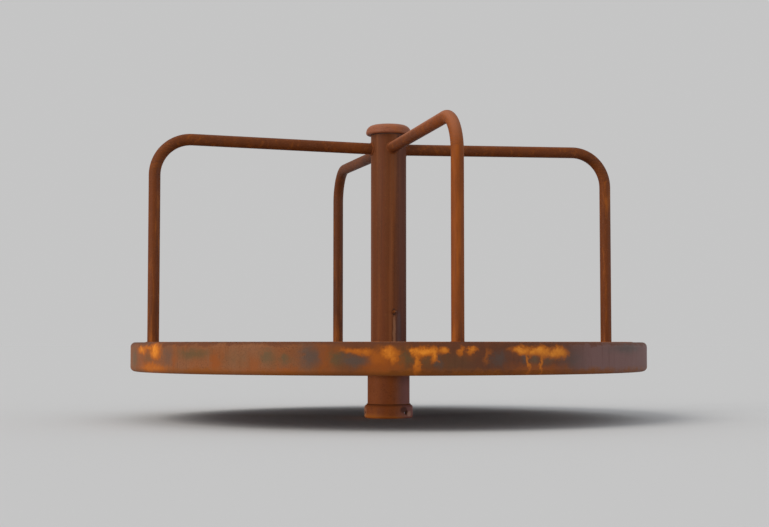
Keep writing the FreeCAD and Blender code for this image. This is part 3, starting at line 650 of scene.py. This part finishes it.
def material_by_slot():
    """The record's material slots and what each looks like."""
    return {
        "rail_steel": rail_material(),
        "column_steel": column_material(),
        "cap_steel": cap_material(),
        "rim_steel": rim_material(),
        "deck_steel": deck_material(),
        "foot_steel": foot_material(),
        "frame_steel": frame_material(),
        "fastener_steel": fastener_material(),
        "bearing_steel": bearing_material(),
        "cage_brass": brass_material(),
        "seal_rubber": rubber_material(),
    }


def dress_nodes(materials):
    """Every CAD node takes the material of its slot in the record."""
    for entry in frame["record"]["subparts"]:
        mesh = NODES[entry["node"]].data
        mesh.materials.clear()
        mesh.materials.append(materials[entry["material_slot"]])


# Pieces


def piece(name, vertices, faces, material, body, smooth=True):
    mesh = bpy.data.meshes.new(name)
    mesh.from_pydata(vertices, [], faces)
    mesh.materials.append(material)
    mesh.polygons.foreach_set("use_smooth", [smooth] * len(mesh.polygons))
    mesh.validate()
    mesh.update()
    made = bpy.data.objects.new(name, mesh)
    bpy.context.scene.collection.objects.link(made)
    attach(made, body)
    return made


# Weld beads, in metres
BEAD_SIDES = 10
BEAD_PITCH = 0.0042         # one ripple of a bead
BEAD_STEP = 0.0014          # from one ring of a bead's mesh to the next
LUMP_LENGTH = 0.011         # a bead's thickness changes over each of these
LUMP_COUNT = 64
BLUNT_END = 0.35            # how thick an open bead's ends are, as a share
ARM_BEAD = 0.0042           # radii
POST_BEAD = 0.0022
COLLAR_BEAD = 0.0028
FRAME_BEAD = 0.0040
ASKEW = Vector((0.30, 0.20, 0.93))      # a direction that no bead runs along


def bead(path, closed, radius, seed):
    """Vertices and faces of one weld bead: a rippled tube along a path of points."""
    rng = random.Random(seed)
    count = len(path)
    vertices = []
    travelled = 0.0
    lumps = [rng.uniform(-0.10, 0.10) for _ in range(LUMP_COUNT)]
    for i, place in enumerate(path):
        before = path[i - 1] if closed or i > 0 else place
        after = path[(i + 1) % count] if closed or i < count - 1 else place
        along = (after - before).normalized()
        side = along.cross(ASKEW).normalized()
        up = along.cross(side)
        if i > 0:
            travelled += (place - path[i - 1]).length
        wave = abs(math.sin(math.pi * travelled / BEAD_PITCH))
        thick = radius * (0.88 + 0.20 * wave + lumps[int(travelled / LUMP_LENGTH) % LUMP_COUNT])
        if not closed and i in (0, count - 1):
            thick *= BLUNT_END
        for k in range(BEAD_SIDES):
            turn = 2 * math.pi * k / BEAD_SIDES
            vertices.append(place + thick * (math.cos(turn) * side + math.sin(turn) * up))
    faces = []
    for i in range(count if closed else count - 1):
        here = i * BEAD_SIDES
        there = ((i + 1) % count) * BEAD_SIDES
        for k in range(BEAD_SIDES):
            nearby = (k + 1) % BEAD_SIDES
            faces.append((here + k, there + k, there + nearby, here + nearby))
    if not closed:
        faces.append(tuple(range(BEAD_SIDES)))
        faces.append(tuple((count - 1) * BEAD_SIDES + k for k in reversed(range(BEAD_SIDES))))
    return vertices, faces


def join_up(parts):
    """One list of vertices and one of faces from many pairs of them."""
    vertices = []
    faces = []
    for more, around_it in parts:
        first = len(vertices)
        vertices += more
        faces += [tuple(first + v for v in face) for face in around_it]
    return vertices, faces


def bead_piece(name, paths, radius, material, body):
    """One piece of one or more weld beads. A path is (points, closed)."""
    beads = [bead(path, closed, radius, name + str(number))
             for number, (path, closed) in enumerate(paths)]
    vertices, faces = join_up(beads)
    return piece(name, vertices, faces, material, body)


def circle_path(centre, radius):
    steps = max(24, round(2 * math.pi * radius / BEAD_STEP))
    return [centre + around(2 * math.pi * i / steps, radius, 0.0) for i in range(steps)]


def line_path(start, end):
    steps = max(4, round((end - start).length / BEAD_STEP))
    return [start.lerp(end, i / steps) for i in range(steps + 1)]


def upright(index):
    """Where a handrail's upright stands: its angle and reach from the axis, and the tube's radius."""
    mesh = NODES["handrail_%d" % index].data
    low = [v.co for v in mesh.vertices if v.co.z < DECK_TOP - 0.01]
    x = (min(co.x for co in low) + max(co.x for co in low)) / 2
    y = (min(co.y for co in low) + max(co.y for co in low)) / 2
    radius = max(math.hypot(co.x - x, co.y - y) for co in low)
    return math.atan2(y, x), math.hypot(x, y), radius


def arm_height(index):
    """The height of a handrail's centre line where it meets the column."""
    mesh = NODES["handrail_%d" % index].data
    near = [v.co.z for v in mesh.vertices if math.hypot(v.co.x, v.co.y) < COLUMN_RADIUS + 0.004]
    return (min(near) + max(near)) / 2


def arm_welds(materials):
    """A bead round each handrail where it meets the column."""
    for index in range(1, RAIL_COUNT + 1):
        angle, _, radius = upright(index)
        height = arm_height(index)
        ring = radius - 0.0002
        steps = round(2 * math.pi * radius / BEAD_STEP)
        path = []
        for i in range(steps):
            turn = 2 * math.pi * i / steps
            across = ring * math.cos(turn)
            reach = math.sqrt(COLUMN_RADIUS ** 2 - across ** 2)
            place = Vector((reach, across, height + ring * math.sin(turn)))
            path.append(Matrix.Rotation(angle, 3, "Z") @ place)
        bead_piece("arm_weld_%d" % index, [(path, True)], ARM_BEAD, materials["weld"],
                   "platform")


def post_welds(materials):
    """A bead round each handrail where it passes through the deck."""
    for index in range(1, RAIL_COUNT + 1):
        angle, reach, radius = upright(index)
        path = circle_path(around(angle, reach, DECK_TOP + 0.0002), radius + 0.0006)
        bead_piece("post_weld_%d" % index, [(path, True)], POST_BEAD, materials["weld"],
                   "platform")


def foot_welds(materials):
    """Beads where the foot stands in the collar and the column on its flange."""
    collar = circle_path(Vector((0, 0, COLLAR_HIGH.z + 0.0006)), FOOT_RADIUS + 0.0012)
    bead_piece("collar_weld", [(collar, True)], COLLAR_BEAD, materials["weld"], "base")
    flange = circle_path(Vector((0, 0, FLANGE_HIGH.z + 0.0006)), COLUMN_RADIUS + 0.0012)
    bead_piece("flange_weld", [(flange, True)], FRAME_BEAD, materials["weld"],
               "platform")


SPOKE_HALF_WIDTH = 0.030
RIM_WALL = 0.005
SPOKE_WELD = (0.004, 0.048)     # a spoke's weld bead, from the spoke's underside


def frame_welds(materials):
    """Upright fillets at both ends of every spoke."""
    bottom, top = SPOKE_WELD
    paths = []
    for number in range(SPOKE_COUNT):
        turn = upright(1)[0] + 2 * math.pi * number / SPOKE_COUNT
        for reach in (DRUM_RADIUS, DECK_RADIUS - RIM_WALL):
            for sign in (-1, 1):
                at = math.sqrt(reach ** 2 - SPOKE_HALF_WIDTH ** 2)
                corner = Vector((at, sign * SPOKE_HALF_WIDTH, SPOKE_LOW.z))
                corner = Matrix.Rotation(turn, 3, "Z") @ corner
                paths.append((line_path(corner + Vector((0, 0, bottom)),
                                        corner + Vector((0, 0, top))), False))
    bead_piece("frame_welds", paths, FRAME_BEAD, materials["weld"], "platform")


SCREW_HEAD = 0.024          # nothing on one deck screw's head is further apart


def screw_centres():
    """The middle of each deck screw's head, found from the points on its top."""
    tops = [v.co.copy() for v in NODES["deck_screws"].data.vertices if v.co.z > DECK_TOP - 0.0002]
    heads = []
    for top in tops:
        for head in heads:
            if (head[0] - top).length < SCREW_HEAD:
                head.append(top)
                break
        else:
            heads.append([top])
    return [sum(head, Vector()) / len(head) for head in heads]


# The deck's raised tread, in metres
TREAD_PITCH = 0.0285
TREAD_LENGTH = 0.0250
TREAD_WIDTH = 0.0086
TREAD_HEIGHT = 0.0016
TREAD_SUNK = 0.0005
TREAD_INSIDE = COLUMN_RADIUS + 0.022
TREAD_OUTSIDE = DECK_RADIUS - 0.058
TREAD_CLEAR = {"seam": 0.013, "rail": 0.042, "screw": 0.0215}
TREAD_ROWS = 35             # enough to reach the deck's edge
QUARTER_ANGLE = 0.85        # radians from a quarter's middle, a little past its seams


def lozenge(centre, direction):
    """One raised bar of the tread: a pointed oval with sloping sides."""
    along = Vector((math.cos(direction), math.sin(direction), 0.0)) * TREAD_LENGTH
    across = Vector((-math.sin(direction), math.cos(direction), 0.0)) * TREAD_WIDTH
    outline = [(-0.5, 0.0), (-0.28, -0.36), (0.0, -0.5), (0.28, -0.36),
               (0.5, 0.0), (0.28, 0.36), (0.0, 0.5), (-0.28, 0.36)]
    count = len(outline)
    vertices = []
    for level, share in ((-TREAD_SUNK, 1.0), (TREAD_HEIGHT * 0.6, 0.88), (TREAD_HEIGHT, 0.66)):
        for a, b in outline:
            vertices.append(centre + along * a * share + across * b * share + Vector((0, 0, level)))
    faces = []
    for level in range(2):
        for k in range(count):
            nearby = (k + 1) % count
            faces.append((level * count + k, level * count + nearby,
                          (level + 1) * count + nearby, (level + 1) * count + k))
    faces.append(tuple(2 * count + k for k in range(count)))
    faces.append(tuple(reversed(range(count))))
    return vertices, faces


def tread_places(turn, rail, screws):
    """Middles and headings of one quarter's bars, clear of its edges, screws and handrail."""
    spin = Matrix.Rotation(turn, 3, "Z")
    quarter = [s for s in screws
               if abs((spin.inverted() @ s).angle(Vector((1, 0, 0)))) < QUARTER_ANGLE]
    for i in range(TREAD_ROWS):
        for j in range(1 - TREAD_ROWS, TREAD_ROWS):
            local = Vector(((i + 0.5) * TREAD_PITCH, (j + 0.5) * TREAD_PITCH, 0.0))
            from_seam = (local.x - abs(local.y)) / math.sqrt(2)
            if not TREAD_INSIDE < local.length < TREAD_OUTSIDE or from_seam < TREAD_CLEAR["seam"]:
                continue
            centre = spin @ local + Vector((0, 0, DECK_TOP))
            if (centre - rail).length < TREAD_CLEAR["rail"]:
                continue
            if any((centre - s).length < TREAD_CLEAR["screw"] for s in quarter):
                continue
            slant = math.pi / 4 if (i + j) % 2 else -math.pi / 4
            yield centre, turn + slant


def tread(materials):
    """The raised pattern on each quarter of the deck."""
    screws = screw_centres()
    for index in range(1, RAIL_COUNT + 1):
        turn, reach, _ = upright(index)
        rail = around(turn, reach, DECK_TOP)
        bars = [lozenge(*place) for place in tread_places(turn, rail, screws)]
        vertices, faces = join_up(bars)
        piece("deck_tread_%d" % index, vertices, faces, materials["deck"],
              "platform", smooth=False)


# Studio

PALE = 0.56                 # how bright the floor and the backdrop are
FLOOR_HALF = 400.0

# Broad soft lights from far away: degrees round from the front towards +X, degrees above the floor, how
# wide each looks in degrees, strength and colour. The two low ones reach in under the deck.
LIGHTS = {
    "key": (-54.0, 42.0, 38.0, 1.25, (1.00, 0.93, 0.84)),
    "low_key": (-52.0, 1.2, 3.0, 1.40, (1.00, 0.92, 0.82)),
    "low_fill": (72.0, 1.6, 5.0, 1.00, (0.72, 0.82, 1.00)),
}


def studio_floor():
    """A floor that the lights make just as bright as the backdrop, so no line shows between them."""
    light = [PALE] * 3
    for _, height, _, strength, colour in LIGHTS.values():
        for i in range(3):
            light[i] += strength * colour[i] * math.sin(math.radians(height)) / math.pi
    mesh = bpy.data.meshes.new("floor")
    half = FLOOR_HALF
    mesh.from_pydata([(-half, -half, 0), (half, -half, 0), (half, half, 0), (-half, half, 0)],
                     [], [(0, 1, 2, 3)])
    floor = bpy.data.objects.new("floor", mesh)
    bpy.context.scene.collection.objects.link(floor)
    paint = Paint("pale_floor")
    paint.shader.inputs["Base Color"].default_value = (*[PALE / value for value in light], 1.0)
    paint.shader.inputs["Roughness"].default_value = 1.0
    paint.shader.inputs["Specular IOR Level"].default_value = 0.0
    mesh.materials.append(paint.material)


def studio_lights():
    world = bpy.data.worlds.new("studio")
    world.use_nodes = True
    background = world.node_tree.nodes["Background"]
    background.inputs[0].default_value = (1.0, 1.0, 1.0, 1.0)
    background.inputs[1].default_value = PALE
    bpy.context.scene.world = world
    for name, (turn, height, spread, strength, colour) in LIGHTS.items():
        light = bpy.data.lights.new(name, "SUN")
        light.angle = math.radians(spread)
        light.energy = strength
        light.color = colour
        lamp = bpy.data.objects.new(name, light)
        lamp.rotation_euler = (math.radians(90.0 - height), 0.0, math.radians(turn))
        bpy.context.scene.collection.objects.link(lamp)


CAMERA_DISTANCE = 5.726     # from the spin axis
CAMERA_BELOW_DECK = 0.0054
CAMERA_SENSOR = 36.0        # millimetres, as is the lens
CAMERA_LENS = 68.02
CAMERA_PITCH = 3.161        # degrees up
CAMERA_YAW = 0.161          # degrees to its left


def studio_camera():
    """Almost level with the deck, straight in front of the object."""
    data = bpy.data.cameras.new("camera")
    data.sensor_width = CAMERA_SENSOR
    data.lens = CAMERA_LENS
    camera = bpy.data.objects.new("camera", data)
    camera.location = (0.0, -CAMERA_DISTANCE, DECK_TOP - CAMERA_BELOW_DECK)
    camera.rotation_euler = (math.radians(90.0 + CAMERA_PITCH), 0.0, math.radians(CAMERA_YAW))
    bpy.context.scene.collection.objects.link(camera)
    bpy.context.scene.camera = camera


def build():
    by_slot = material_by_slot()
    dress_nodes(by_slot)
    materials = {"weld": weld_material(), "deck": by_slot["deck_steel"]}
    arm_welds(materials)
    post_welds(materials)
    foot_welds(materials)
    frame_welds(materials)
    tread(materials)
    studio_floor()
    studio_lights()
    studio_camera()
    bpy.context.scene.view_settings.view_transform = "Standard"


build()
